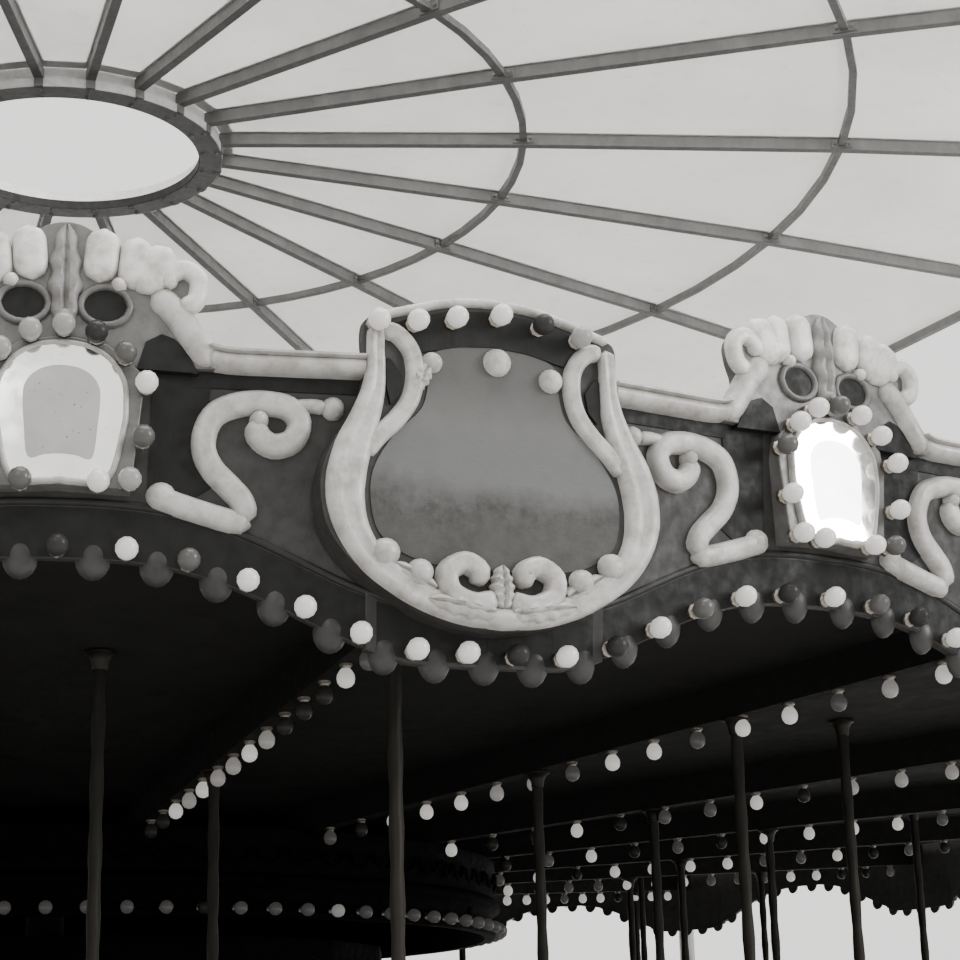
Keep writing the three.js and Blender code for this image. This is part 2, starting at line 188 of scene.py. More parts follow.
def painted(name, tone, dirt=0.55, roughness=0.42, warmth=0.03, flakes=0.0, shine=0.5):
    """Old oil paint on carved timber: clouded tone, grime, brush marks and fine crackle."""
    made = Finish(name, roughness, shine=shine)
    clouds = made.noise(5.0, 6.0)
    base = made.ramp(clouds, 0.3, 0.68, grey(tone * 0.86, warmth), grey(tone * 1.08, warmth))
    grime = made.ramp(made.noise(17.0, 8.0, 0.65), 0.42, 0.66)
    coat = made.mixed(grime, base, grey(tone * dirt, warmth * 2))
    if flakes:
        worn = made.ramp(made.noise(46.0, 6.0, 0.7), 0.7, 0.74)
        coat = made.mixed(worn, coat, grey(flakes, 0.08))
    made.colour(coat)
    made.gloss(made.noise(23.0, 5.0), roughness - 0.12, roughness + 0.16)
    made.relief(made.streaks((90, 90, 16), 5.0), 0.22, 0.004)
    crackle = made.node("TexVoronoi", {"Scale": 70.0, "Vector": made.place},
                        feature="DISTANCE_TO_EDGE")
    made.relief(made.ranged(crackle.outputs["Distance"], 0.0, 1.0, 0.0, 0.05), 0.12, 0.002)
    return made


def planked(name, tone, spacing, roughness=0.6, warmth=0.06, shine=0.5):
    """Timber with grain along its length, darker streaks and a worn surface."""
    made = Finish(name, roughness, shine=shine)
    grain = made.streaks((spacing, spacing, spacing * 0.6), 9.0, 0.62, 0.6)
    streak = made.ramp(grain, 0.28, 0.72, grey(tone * 0.55, warmth), grey(tone * 1.2, warmth))
    wear = made.ramp(made.noise(3.1, 5.0), 0.35, 0.75)
    made.colour(made.mixed(wear, streak, grey(tone * 1.25, warmth * 0.7)))
    made.gloss(grain, roughness - 0.1, roughness + 0.2)
    made.relief(grain, 0.35, 0.004)
    return made


def steel(name, tone, roughness=0.38, metallic=0.35, warmth=0.02):
    """Painted steel with faint orange peel, runs of dust and dull patches."""
    made = Finish(name, roughness, metallic)
    dust = made.streaks((7, 7, 2.2), 6.0)
    made.colour(made.ramp(dust, 0.3, 0.7, grey(tone * 0.78, warmth), grey(tone * 1.12, warmth)))
    made.gloss(made.noise(30.0, 4.0), roughness - 0.1, roughness + 0.18)
    made.relief(made.noise(260.0, 2.0), 0.06, 0.001)
    return made


def mirror_glass(name, tone):
    """Old silvered glass with slight clouding and small dark specks."""
    made = Finish(name, 0.06, 1.0)
    cloud = made.ramp(made.noise(8.0, 6.0), 0.35, 0.65, grey(tone * 0.92, 0.01), grey(tone * 1.06, 0.01))
    specks = made.ramp(made.noise(95.0, 3.0, 0.4), 0.72, 0.78)
    made.colour(made.mixed(specks, cloud, grey(tone * 0.4)))
    made.gloss(made.noise(14.0, 5.0), 0.03, 0.16)
    made.relief(made.noise(3.0, 2.0), 0.05, 0.02)
    return made


def lamp_glass(name, strength, tone, coat=0.3):
    """Frosted lamp glass that glows softly."""
    made = Finish(name, 0.35, shine=coat)
    made.colour(made.ramp(made.noise(60.0, 3.0), 0.3, 0.7, grey(tone * 0.9), grey(tone)))
    made.set(made.shader, {"Emission Color": grey(1.0, 0.04), "Emission Strength": strength,
                           "Coat Weight": coat})
    return made


def brass(name, tone, roughness=0.3):
    """Handled brass, brighter where it is rubbed."""
    made = Finish(name, roughness, 0.9)
    rub = made.streaks((12, 12, 3), 5.0)
    made.colour(made.ramp(rub, 0.3, 0.7, grey(tone * 0.6, 0.12), grey(tone, 0.08)))
    made.gloss(rub, roughness - 0.1, roughness + 0.2)
    made.relief(made.noise(120.0, 3.0), 0.05, 0.001)
    return made


def landscape_paint():
    """A soft painted landscape: pale sky, two lines of wooded hills and a dark meadow."""
    made = Finish("landscape_paint", 0.45, shine=0.3)
    height = made.node("SeparateXYZ", {"Vector": made.place}).outputs["Z"]

    def above(low, high, amount, scale, detail):
        """From 0 to 1 between two heights, along a line that noise makes uneven."""
        bumpy = made.noise(scale, detail, 0.6)
        raised = made.node("Math", {0: bumpy, 1: amount, 2: height}, operation="MULTIPLY_ADD")
        return made.ranged(raised.outputs["Value"], 0.0, 1.0, low, high)

    far_hills = above(3.6, 3.66, 0.34, 1.7, 3.0)
    near_hills = above(3.39, 3.49, 0.3, 4.3, 7.0)
    meadow = above(3.22, 3.3, 0.16, 9.0, 8.0)
    sky = made.ramp(above(3.35, 3.85, 0.1, 6.0, 5.0), 0.1, 0.7, grey(0.105), grey(0.052))
    distance = made.mixed(far_hills, grey(0.075, 0.0), sky)
    wood = made.ramp(made.noise(34.0, 8.0, 0.7), 0.35, 0.7, grey(0.018, 0.05), grey(0.044, 0.05))
    with_wood = made.mixed(near_hills, wood, distance)
    ground = made.ramp(made.noise(15.0, 8.0, 0.6), 0.3, 0.7, grey(0.022, 0.06), grey(0.04, 0.06))
    made.colour(made.mixed(meadow, ground, with_wood))
    made.relief(made.streaks((40, 40, 110), 6.0), 0.25, 0.003)
    made.gloss(made.noise(20.0, 4.0), 0.32, 0.55)
    return made


def canopy_cloth():
    """Coated canopy cloth that lets daylight through, with a fine weave and weather marks."""
    made = Finish("canopy_cloth", 0.75, shine=0.3)
    base = made.ramp(made.noise(0.9, 7.0, 0.6), 0.3, 0.7, grey(0.74, 0.012), grey(0.84, 0.012))
    spots = made.ramp(made.noise(7.0, 9.0, 0.7), 0.55, 0.85)
    made.colour(made.mixed(spots, base, grey(0.62, 0.02)))
    for direction in "XY":
        weave = made.node("TexWave", {"Scale": 160.0, "Vector": made.place},
                          wave_type="BANDS", bands_direction=direction)
        made.relief(weave.outputs["Fac"], 0.08, 0.001)
    made.set(made.shader, {"Transmission Weight": 0.55, "IOR": 1.08, "Sheen Weight": 0.1})
    return made


CREAM = painted("cream_enamel", 0.31, 0.6, 0.4, flakes=0.12)
# A lighter copy of the cream enamel: painted light on the crest lobes.
CREST_CREAM_LIT = painted("crest_enamel_painted_light", 0.46, 0.6, 0.4, flakes=0.14)
PALE = painted("pale_enamel", 0.36, 0.58, 0.45, flakes=0.1)
GROUND = painted("ground_paint", 0.085, 0.6, 0.45, flakes=0.05)
FIELD = painted("field_paint", 0.022, 0.6, 0.6, flakes=0.03, shine=0.3)
# Near-black paint, also used as painted shade under the top moulding and at each crest's foot.
DARK = painted("dark_paint_and_painted_shade", 0.004, 0.7, 0.6, flakes=0.015, shine=0.2)
BORDER = painted("border_paint", 0.0075, 0.65, 0.55, flakes=0.03, shine=0.3)
DROPS = painted("drop_paint", 0.016, 0.55, 0.5, 0.06, shine=0.4)
MIRROR = mirror_glass("mirror_glass", 0.4)
BEVEL = mirror_glass("mirror_bevel", 0.92)
LANDSCAPE = landscape_paint()
LAMP = lamp_glass("lamp_glass", 0.4, 0.3)
LAMP_MILD = lamp_glass("lamp_glass_mild", 0.16, 0.12, 0.2)
LAMP_LOW = lamp_glass("lamp_glass_low", 0.03, 0.045, 0.15)
LAMP_DEAD = lamp_glass("lamp_glass_dead", 0.0, 0.022, 0.06)
SOCKET = brass("lamp_sockets", 0.22, 0.4)
POLE = brass("pole_metal", 0.022, 0.52)
OVERHEAD = painted("overhead_paint", 0.005, 0.75, 0.8, 0.05, shine=0.1)
CEILING = planked("ceiling_boards", 0.005, 6.0, 0.8, shine=0.15)
HOUSING = painted("housing_paint", 0.0015, 0.7, 0.75, 0.05, shine=0.03)
DECK = planked("deck_planks", 0.13, 9.0, 0.6)
TRIM = painted("platform_trim", 0.2, 0.55, 0.45, 0.05, flakes=0.06)
MAST = steel("mast_steel", 0.02, 0.6, 0.2)
FRAME_STEEL = steel("canopy_steel", 0.14, 0.48, 0.3)
# Near-black lining for the hub ring's inner face: painted shade.
HUB_SHADE_LINING = painted("hub_painted_shade_lining", 0.01, 0.7, 0.7, shine=0.2)
COLUMN_STEEL = steel("column_paint", 0.34, 0.38, 0.25)
CLOTH = canopy_cloth()
SEAM = painted("cloth_seams", 0.5, 0.8, 0.7, 0.012)
# Mid-grey for the crest stem: painted shade, for a stem that stands in shade against the bright canopy.
STEM_SHADE = painted("stem_painted_shade", 0.15, 0.55, 0.45, flakes=0.08)


# Shapes, in a local frame: along the rim, distance from the axis, height
class Form:
    """Points and faces of one piece, gathered from simple closed shapes."""

    def __init__(self, points=(), faces=()):
        self.points = list(points)
        self.faces = list(faces)

    def __iadd__(self, other):
        start = len(self.points)
        self.points += other.points
        self.faces += [tuple(start + i for i in face) for face in other.faces]
        return self


def on_both_sides(form):
    """The form, and the same on the other side of the bay's middle line."""
    both = Form(form.points, form.faces)
    both += Form([(-along, out, up) for along, out, up in form.points], [face[::-1] for face in form.faces])
    return both


def board_face(up):
    """Distance of the leaning boards' face from the axis at a height."""
    return BOARD_FACE_AT + BOARD_LEAN * (up - BOARD_FACE_HEIGHT)


def corner_face(up):
    """The same for the panels across the corners, on a sweep's azimuth."""
    return board_face(up) * cos(HALF_BAY) + BOARD_HALF * sin(HALF_BAY) + CORNER_PROUD


def corner_half(up):
    """Half width of those panels at a height."""
    return board_face(up) * sin(HALF_BAY) - BOARD_HALF * cos(HALF_BAY)


def on_boards(form):
    """The form laid on the leaning boards and folded round their corners; out is off the face."""
    points = []
    for along, out, up in form.points:
        side = copysign(1.0, along)
        beyond = abs(along) - BOARD_HALF
        if beyond <= 0:
            points.append((along, board_face(up) + out, up))
        else:
            off = out + CORNER_PROUD
            u = BOARD_HALF + beyond * cos(HALF_BAY) + off * sin(HALF_BAY)
            away = board_face(up) - beyond * sin(HALF_BAY) + off * cos(HALF_BAY)
            points.append((side * u, away, up))
    return Form(points, form.faces)


def standing(form, distance):
    """The form stood upright with its ground at a distance from the axis."""
    return Form([(along, distance + out, up) for along, out, up in form.points], form.faces)


def placed(azimuth, distance, height):
    """The point at a distance from the axis on an azimuth."""
    return distance * sin(azimuth), -distance * cos(azimuth), height


def around(form, azimuths):
    """The form repeated round the axis, in the model's own frame."""
    ring = Form()
    for azimuth in azimuths:
        turn = [[cos(azimuth), sin(azimuth), 0], [sin(azimuth), -cos(azimuth), 0], [0, 0, 1]]
        ring += Form((np.array(form.points) @ turn).tolist(), form.faces)
    return ring


def make(name, form, finish, body, crease=50.0, bevel=0.0):
    mesh = bpy.data.meshes.new(name)
    mesh.from_pydata(form.points, [], form.faces)
    sides = bmesh.new()
    sides.from_mesh(mesh)
    bmesh.ops.recalc_face_normals(sides, faces=sides.faces)
    sides.to_mesh(mesh)
    sides.free()
    mesh.polygons.foreach_set("use_smooth", [True] * len(mesh.polygons))
    mesh.set_sharp_from_angle(angle=radians(crease))
    mesh.materials.append(finish.material)
    piece = bpy.data.objects.new(name, mesh)
    show(piece)
    if bevel:
        soft = piece.modifiers.new("soft_edges", "BEVEL")
        soft.width = bevel
        soft.segments = 2
        soft.limit_method = "ANGLE"
        soft.angle_limit = radians(40)
    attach(piece, body)
    return piece


def ring_piece(name, form, finish, azimuths=mirror_azimuths, body=TURNTABLE,
               crease=50.0, bevel=0.0):
    return make(name, around(form, azimuths), finish, body, crease, bevel)


def turned_piece(name, profile, finish, body=TURNTABLE, sides=72, corner=0.0):
    """A closed profile of radius and height turned round the axis."""
    points = [placed(corner + tau * k / sides, radius, height)
              for radius, height in profile for k in range(sides)]
    return make(name, Form(points, quads(len(profile), sides, closed=True)), finish, body)


def quads(rows, sides, looped=True, closed=False):
    """Faces between rows of points; each row may be a loop, and the last row may join the first."""
    faces = []
    for r in range(rows if closed else rows - 1):
        n = (r + 1) % rows
        for k in range(sides if looped else sides - 1):
            m = (k + 1) % sides
            faces.append((r * sides + k, r * sides + m, n * sides + m, n * sides + k))
    return faces


def tube(rows, sides):
    """Faces round such rows, with both ends closed."""
    ends = [tuple(reversed(range(sides))), tuple((rows - 1) * sides + k for k in range(sides))]
    return quads(rows, sides) + ends


def circle(sides):
    """Cosine and sine of evenly spaced turns."""
    return [(cos(tau * k / sides), sin(tau * k / sides)) for k in range(sides)]


def spread(half, steps):
    """Evenly spaced places from one side of the middle line to the other."""
    return [half * (2 * i / steps - 1) for i in range(steps + 1)]


def spline(points, steps):
    """Points of a smooth curve through the given ones, with so many steps for each stretch."""
    p = [np.array(q, float) for q in points]
    p = [2 * p[0] - p[1], *p, 2 * p[-1] - p[-2]]
    made = []
    for i in range(1, len(p) - 2):
        for k in range(steps):
            t = k / steps
            a = 2 * p[i]
            b = p[i + 1] - p[i - 1]
            c = 2 * p[i - 1] - 5 * p[i] + 4 * p[i + 1] - p[i + 2]
            d = 3 * p[i] - p[i - 1] - 3 * p[i + 1] + p[i + 2]
            made.append(0.5 * (a + b * t + c * t * t + d * t ** 3))
    made.append(p[-2])
    return made


def layered(rows, faces):
    """A form of like outlines of along and up that each lie at their own distance."""
    return Form([(u, out, z) for outline, out in rows for u, z in outline], faces)


def plate(outline, back, front):
    """A flat board with the given outline."""
    return layered([(outline, back), (outline, front)], tube(2, len(outline)))


def hoop(rows):
    """A closed ring, such as a bevel, through the outlines."""
    return layered(rows, quads(len(rows), len(rows[0][0]), closed=True))


def lipped(outline, back, front, lip, drop):
    """A plate whose face slopes down to its edge, such as bevelled glass."""
    return layered([(outline, back), (outline, front - drop), (inset(outline, lip), front)],
                   tube(3, len(outline)))


def block(u0, u1, out0, out1, z0, z1):
    return plate([(u0, z0), (u1, z0), (u1, z1), (u0, z1)], out0, out1)


def slab(near, far, thickness):
    """A board along a radius, from half width, distance and height of its underside at each end."""
    corners = [(-near[0], *near[1:]), near, far, (-far[0], *far[1:])]
    return Form(corners + [(u, out, up + thickness) for u, out, up in corners], tube(2, 4))


def whole(half):
    """Both halves of an outline that is given for one side."""
    return half + [(-u, z) for u, z in reversed(half) if u]


def inset(outline, amount):
    """The outline moved inwards by about so much."""
    count = len(outline)
    area = sum(outline[i - 1][0] * outline[i][1] - outline[i][0] * outline[i - 1][1] for i in range(count))
    side = 1 if area > 0 else -1
    moved = []
    for i, point in enumerate(outline):
        before = Vector(point) - Vector(outline[i - 1])
        after = Vector(outline[(i + 1) % count]) - Vector(point)
        across = (before.normalized() + after.normalized()).normalized()
        moved.append((point[0] - side * across.y * amount, point[1] + side * across.x * amount))
    return moved


def smooth(outline, steps=4):
    """The closed outline as a curve through its points."""
    line = spline([outline[-1], *outline, outline[0], outline[1]], steps)
    return [tuple(p) for p in line[steps:-steps - 1]]


def band(path, half_width, base, height, closed=False, groove=0.0, steps=8, sides=9):
    """A carved rib with a rounded section along a path; its half width may change on the way."""
    line = spline([*path, path[0]] if closed else path, steps)
    widths = half_width if isinstance(half_width, tuple) else (half_width,) * (len(path) + closed)
    wide = np.interp(np.arange(len(line)) / steps, range(len(widths)), widths)
    if closed:
        line = line[:-1]
    count = len(line)
    lengths = [0.0, *np.cumsum(np.linalg.norm(np.diff(line, axis=0), axis=1))]
    points = []
    for i in range(count):
        ahead = line[(i + 1) % count] if closed or i < count - 1 else line[i]
        behind = line[i - 1] if closed or i > 0 else line[i]
        run = ahead - behind
        run = run / (np.linalg.norm(run) or 1.0)
        across = np.array([-run[1], run[0]])
        size = 1.0
        if not closed:
            near = min(lengths[i], lengths[-1] - lengths[i])
            if near < wide[i]:
                size = max(0.12, sqrt(max(0.0, 1 - (1 - near / wide[i]) ** 2)))
        for k in range(sides):
            angle = pi * k / (sides - 1)
            share = cos(angle)
            rise = sin(angle) ** 0.75 * (1 - groove * exp(-(share / 0.35) ** 2))
            spot = line[i] + across * share * wide[i] * size
            points.append((spot[0], base + height * rise * size ** 0.5, spot[1]))
    return Form(points, quads(count, sides, closed=True) if closed else tube(count, sides))


def dome(u, z, width, tall, base, height, sides=16, rows=4):
    """A half-round boss on the board's face."""
    points = []
    for r in range(rows):
        angle = pi / 2 * r / rows
        for c, s in circle(sides):
            points.append((u + width * cos(angle) * c, base + height * sin(angle),
                           z + tall * cos(angle) * s))
    points.append((u, base + height, z))
    top = (rows - 1) * sides
    faces = quads(rows, sides)
    faces += [(top + k, top + (k + 1) % sides, rows * sides) for k in range(sides)]
    faces.append(tuple(reversed(range(sides))))
    return Form(points, faces)


def leaf(root, tip, width, base, height, lobes=4, bend=0.0):
    """A carved leaf with a sunk middle vein and lobed edges."""
    along_steps, across_steps = 4 * lobes + 2, 8
    root, tip = np.array(root, float), np.array(tip, float)
    run = tip - root
    side = np.array([-run[1], run[0]]) / np.linalg.norm(run)
    points = []
    for i in range(along_steps + 1):
        s = i / along_steps
        wide = width / 2 * (0.16 + 0.84 * sin(pi * min(1.0, 0.12 + 0.88 * s)) ** 0.55)
        notch = 1 - 0.22 * (0.5 + 0.5 * cos(tau * lobes * s))
        middle = root + run * s + side * bend * sin(pi * s)
        for k in range(across_steps + 1):
            t = -1 + 2 * k / across_steps
            edge = 1 - (1 - notch) * abs(t)
            spot = middle + side * t * wide * edge
            crown = max(0.0, 1 - t * t) ** 0.6 * (1 - 0.45 * exp(-(t / 0.16) ** 2))
            swell = 0.35 + 0.65 * sin(pi * min(1.0, 0.15 + 0.8 * s))
            ripple = 1 + 0.16 * cos(tau * lobes * (s - 0.12 * abs(t)))
            points.append((spot[0], base + height * crown * swell * ripple, spot[1]))
    row = across_steps + 1
    faces = quads(along_steps + 1, row, looped=False)
    rim = list(range(row))
    rim += [i * row + across_steps for i in range(1, along_steps + 1)]
    rim += [along_steps * row + k for k in range(across_steps - 1, -1, -1)]
    rim += [i * row for i in range(along_steps - 1, 0, -1)]
    start = len(points)
    back = base - 0.004
    points += [(points[i][0], back, points[i][2]) for i in rim]
    count = len(rim)
    faces += [(rim[i], start + i, start + (i + 1) % count, rim[(i + 1) % count]) for i in range(count)]
    faces.append(tuple(start + i for i in reversed(range(count))))
    return Form(points, faces)


def revolved(profile, start, direction, sides=12):
    """A small turned shape: radius and distance pairs along a direction from a start point."""
    axis = Vector(direction).normalized()
    first = axis.orthogonal().normalized()
    second = axis.cross(first)
    points = []
    for radius, reach in profile:
        for c, s in circle(sides):
            points.append(tuple(Vector(start) + axis * reach + (first * c + second * s) * radius))
    return Form(points, tube(len(profile), sides))


# Radius and distance along the lamp's axis
lamp_profile = [(0.01, 0.0), (0.013, 0.009), (0.022, 0.018), (0.0315, 0.033), (0.0345, 0.049),
                (0.0315, 0.065), (0.022, 0.078), (0.008, 0.084)]
socket_profile = [(0.026, -0.012), (0.026, 0.002), (0.019, 0.006), (0.017, 0.016), (0.01, 0.018)]


# Rounding boards, in a bay's own frame with the mirror at the middle; distances are off the face
BOARD_TOP = 3.692
CORNER_HALF = corner_half(BOARD_FACE_HEIGHT)
BOARD_REACH = BOARD_HALF + CORNER_HALF
EDGE_LOW = 2.81
EDGE_LIFT = 0.283
EDGE_RUN = 1.1
EDGE_POWER = 1.4
EDGE_MARGIN = 0.025
EDGE_LAMPS = 15
MIDDLE_LAMP = EDGE_LAMPS // 2
LAMP_CROWDING = 0.93
CREST_BACK = 7.428
SUNK = -0.003


def lamp_line(along):
    """Height of the wavy row of lamps along the boards' lower edge."""
    run = min(1.0, abs(along) / EDGE_RUN) ** EDGE_POWER
    return EDGE_LOW + EDGE_LIFT * (0.5 + 0.5 * cos(pi * run))


def lamp_place(step):
    """Place of a lamp, counted from the mirror; they stand a little closer towards the corners."""
    share = min(1.0, abs(step) / (EDGE_LAMPS / 2))
    along = copysign(BOARD_REACH * share ** LAMP_CROWDING, step)
    return along, lamp_line(along)


crest_half = [
    (0.45, 3.64), (0.405, 3.735), (0.372, 3.79), (0.392, 3.86), (0.395, 3.93),
    (0.33, 3.985), (0.24, 3.98), (0.16, 3.95), (0.115, 4.03), (0.06, 4.075), (0.0, 4.09),
]
mirror_block_half = [
    (0.0, 3.725), (0.13, 3.7), (0.225, 3.62), (0.235, 3.54), (0.205, 3.255), (0.0, 3.265),
]
mirror_half = [
    (0.0, 3.624), (0.05, 3.616), (0.086, 3.594), (0.108, 3.558), (0.111, 3.51),
    (0.106, 3.445), (0.092, 3.342), (0.046, 3.348), (0.0, 3.352),
]
shield_half = [
    (0.0, 3.925), (0.15, 3.912), (0.3, 3.868), (0.37, 3.838), (0.415, 3.815), (0.425, 3.76),
    (0.418, 3.64), (0.455, 3.5), (0.507, 3.443), (0.553, 3.341), (0.561, 3.239), (0.532, 3.136),
    (0.445, 3.034), (0.328, 2.962), (0.205, 2.9), (0.0, 2.865),
]
picture_half = [
    (0.0, 3.765), (0.11, 3.755), (0.2, 3.725), (0.215, 3.648), (0.24, 3.546), (0.333, 3.45),
    (0.398, 3.341), (0.408, 3.239), (0.384, 3.146), (0.307, 3.085), (0.19, 3.055), (0.0, 3.05),
]


def sloped_plate(outline, back, front):
    """A board whose back and front are given as functions of height."""
    form = plate(outline, 0.0, 1.0)
    form.points = [(u, front(z) if out else back(z), z) for u, out, z in form.points]
    return form


def board_backs():
    """The boards themselves with their wavy lower edge, and the panels across the corners."""
    bottom = [(along, lamp_line(along) - EDGE_MARGIN) for along in spread(BOARD_HALF, 36)]
    flat = plate([*bottom, (BOARD_HALF, BOARD_TOP), (-BOARD_HALF, BOARD_TOP)], -BOARD_THICKNESS, 0.0)
    boards = ring_piece("board_backs", on_boards(flat), FIELD, bevel=0.003)
    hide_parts(*nodes_named("rounding_boards_"))
    lap, lip = 0.025, 0.008
    bottom = [(w, lamp_line(BOARD_REACH - abs(w)) - EDGE_MARGIN - lip)
              for w in spread(CORNER_HALF + lap, 12)]
    top = corner_half(BOARD_TOP) + lap
    outline = [*bottom, (top, BOARD_TOP + lip), (-top, BOARD_TOP + lip)]
    panel = sloped_plate(outline, lambda z: corner_face(z) - BOARD_THICKNESS, corner_face)
    ring_piece("corner_panels", panel, FIELD, sweep_azimuths, bevel=0.003)


def strip(places, low, high, back, front):
    """A thin strip between two lines over the same places, in quads so that it can fold."""
    points = []
    for along in places:
        points += [(along, back, low(along)), (along, front, low(along)),
                   (along, front, high(along)), (along, back, high(along))]
    return Form(points, tube(len(places), 4))


def dark_inlays():
    """Dark painted fields beside each mirror, a painted shadow line under the top moulding, the dark wavy
    border and painted shade at the crest's foot.
    """
    beside = [(0.255, 3.262), (0.262, 3.42), (0.264, 3.64), (0.264, 3.69), (0.405, 3.69), (0.436, 3.59),
              (0.432, 3.54), (0.414, 3.49), (0.406, 3.4), (0.42, 3.335), (0.446, 3.29), (0.36, 3.235)]
    form = plate(beside, -0.004, 0.004)
    # A dark strip under the top moulding: painted shadow where the moulding stands off the board.
    form += plate([(0.38, 3.636), (0.38, 3.59), (0.9, 3.586), (0.9, 3.636)], -0.004, 0.005)
    form = on_both_sides(form)
    places = sorted(spread(BOARD_REACH, 48) + [-BOARD_HALF, BOARD_HALF])
    low, high = 0.004 - EDGE_MARGIN, 0.125
    form += strip(places, lambda u: lamp_line(u) + low, lambda u: lamp_line(u) + high, -0.004, 0.003)
    ring_piece("board_inlays_and_painted_shadow", on_boards(form), DARK)
    # Painted shade: a dark plate at the crest's foot, where the top moulding sweeps up into the crest.
    shade = [(0.215, 3.63), (0.24, 3.715), (0.287, 3.742), (0.325, 3.728), (0.362, 3.692), (0.398, 3.622)]
    ring_piece("crest_foot_painted_shade", standing(on_both_sides(plate(shade, -0.03, 0.004)), CREST_FACE), DARK)


def border_mouldings():
    """A thin raised rib that follows the lamps above them."""
    path = [(along, lamp_line(along) + 0.142) for along in spread(BOARD_REACH, 18)]
    ring_piece("edge_mouldings", on_boards(band(path, 0.012, -0.002, 0.012, steps=3, sides=6)), BORDER)


def top_mouldings():
    """The pale moulding along the top that sweeps up to the crest."""
    path = [(0.928, 3.662), (0.8, 3.662), (0.62, 3.662), (0.48, 3.664), (0.418, 3.68)]
    form = band(path, 0.031, SUNK, 0.066, steps=4, sides=10)
    form += band([(u, z + 0.03) for u, z in path], 0.011, 0.01, 0.06, steps=4, sides=6)
    form = on_boards(form)
    sweep = [(0.455, 3.668), (0.412, 3.69), (0.376, 3.738), (0.34, 3.792), (0.3, 3.838), (0.255, 3.868)]
    form += standing(band(sweep, 0.044, -0.012, 0.042, steps=4, sides=10), CREST_FACE)
    ring_piece("top_mouldings", on_both_sides(form), CREAM)


def scrolls():
    """The big S scrolls between mirror and shield, with their foot and knob."""
    body = [(0.557, 3.496), (0.56, 3.448), (0.605, 3.418), (0.662, 3.436), (0.684, 3.49), (0.65, 3.535),
            (0.58, 3.548), (0.5, 3.541), (0.432, 3.51), (0.402, 3.455), (0.4, 3.395), (0.426, 3.34),
            (0.474, 3.292), (0.514, 3.247), (0.532, 3.185)]
    form = band(body, 0.038, SUNK, 0.05, groove=0.18, steps=4, sides=9)
    form += band([(0.66, 3.54), (0.72, 3.545), (0.765, 3.54)], 0.022, SUNK, 0.036, steps=5)
    foot = [(0.542, 3.176), (0.45, 3.196), (0.37, 3.219), (0.29, 3.244), (0.235, 3.262)]
    form += band(foot, 0.036, SUNK, 0.044, groove=0.12, steps=4, sides=9)
    form += dome(0.785, 3.54, 0.037, 0.037, SUNK, 0.044)
    form += dome(0.276, 3.258, 0.046, 0.042, SUNK, 0.046)
    form += dome(0.562, 3.496, 0.03, 0.03, SUNK, 0.055)
    form.points = [(along + 0.02, out, up) for along, out, up in form.points]
    ring_piece("board_scrolls", on_boards(on_both_sides(form)), CREAM)


def mirrors():
    """Upright glass with a broad bright bevel in a thin frame, over each bay's middle."""
    box = sloped_plate(whole(mirror_block_half), lambda z: board_face(z) - 0.02, lambda z: MIRROR_FACE)
    ring_piece("mirror_boxes", box, GROUND, bevel=0.004)
    pane = smooth(whole(mirror_half))
    front, behind = 0.016, -0.002
    edge = inset(pane, -0.07)
    bevel = hoop([(pane, front), (edge, front - 0.003), (edge, behind), (pane, behind)])
    for name, form, finish in (("mirror_glass", plate(pane, behind, front), MIRROR),
                               ("mirror_bevels", bevel, BEVEL)):
        ring_piece(name, standing(form, MIRROR_FACE), finish, crease=12.0)
    form = band(inset(whole(mirror_half), -0.074), 0.01, behind, 0.022, closed=True, steps=4, sides=7)
    ring_piece("mirror_frames", standing(form, MIRROR_FACE), CREAM)


def crests():
    """Carved crest: a darker stem (painted shade) between two dark eyes, under a fan of rounded lobes in
    lighter cream (painted light).
    """
    ground = plate(smooth(whole(crest_half), 3), CREST_BACK - CREST_FACE, 0.0)
    ring_piece("crest_ground", standing(ground, CREST_FACE), GROUND, bevel=0.004)
    stem = leaf((0.0, 3.765), (0.0, 4.078), 0.112, 0.0, 0.036, 4)
    stem += dome(0.0, 3.778, 0.036, 0.03, 0.0, 0.044)
    # The stem's darker tone is painted shade.
    ring_piece("crest_stems", standing(stem, CREST_FACE), STEM_SHADE)
    curl = [(0.34, 3.822), (0.386, 3.852), (0.394, 3.916), (0.352, 3.95), (0.306, 3.926), (0.31, 3.884)]
    lobes = band(curl, 0.03, SUNK, 0.04, groove=0.1, steps=5, sides=9)
    for root, tip, half_width in (((0.098, 3.895), (0.113, 4.068), 0.052),
                                  ((0.198, 3.88), (0.214, 4.046), 0.05),
                                  ((0.214, 3.872), (0.308, 4.016), 0.06)):
        lobes += band([root, tip], half_width, SUNK, 0.044, groove=0.12, steps=9, sides=11)
    lobes += dome(0.158, 3.89, 0.024, 0.024, 0.0, 0.036)
    # The lobes take the lighter copy of the cream: painted light.
    ring_piece("crest_lobes", standing(on_both_sides(lobes), CREST_FACE), CREST_CREAM_LIT, crease=70.0)
    eye, rim = [[(0.12 + wide * c, 3.822 + tall * s) for c, s in circle(count)]
                for wide, tall, count in ((0.065, 0.052, 20), (0.074, 0.061, 10))]
    rims = on_both_sides(band(rim, 0.012, SUNK, 0.02, closed=True, steps=2, sides=7))
    ring_piece("crest_eye_rims", standing(rims, CREST_FACE), GROUND)
    ring_piece("crest_eyes", standing(on_both_sides(plate(eye, -0.004, 0.004)), CREST_FACE), DARK)


